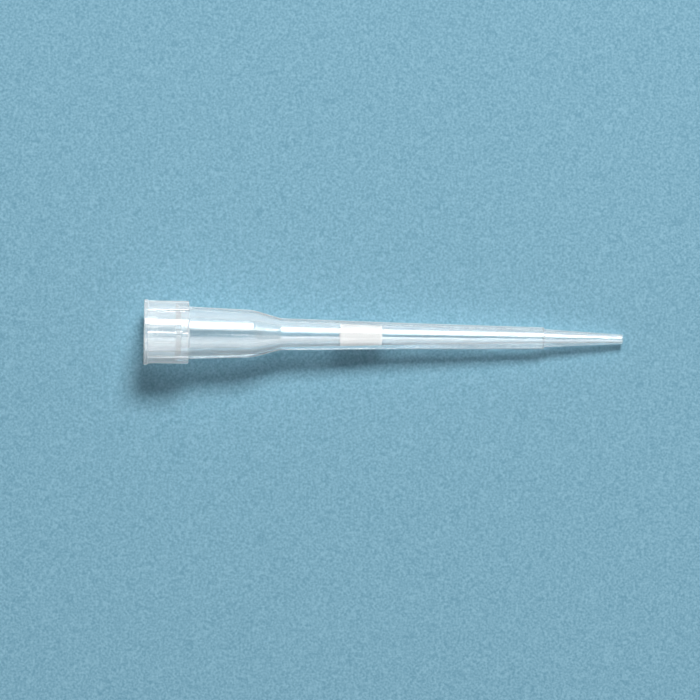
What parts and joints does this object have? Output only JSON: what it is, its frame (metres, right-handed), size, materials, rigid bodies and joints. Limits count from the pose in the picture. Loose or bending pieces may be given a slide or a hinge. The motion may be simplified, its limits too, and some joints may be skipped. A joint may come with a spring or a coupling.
{
  "type": "filter pipette tip",
  "caption": "Slender clear plastic pipette tip with a ribbed collar, tapered shaft, stepped fine nose and a white filter plug pressed into its bore.",
  "frame": {"origin": "centre of the open end, in the plane of the rim's end face", "axes": "+Z along the tip's axis from the open end to the nose; one of the seven collar ribs points along -Y"},
  "size_m": [0.0062, 0.0062, 0.046],
  "materials": {
    "clear_polypropylene": "translucent moulded polypropylene, smooth, slightly milky",
    "porous_polyethylene": "sintered porous polyethylene, matt white"
  },
  "bodies": {
    "root": {"tip_body": "clear_polypropylene", "filter_plug": "porous_polyethylene"}
  },
  "joints": []
}
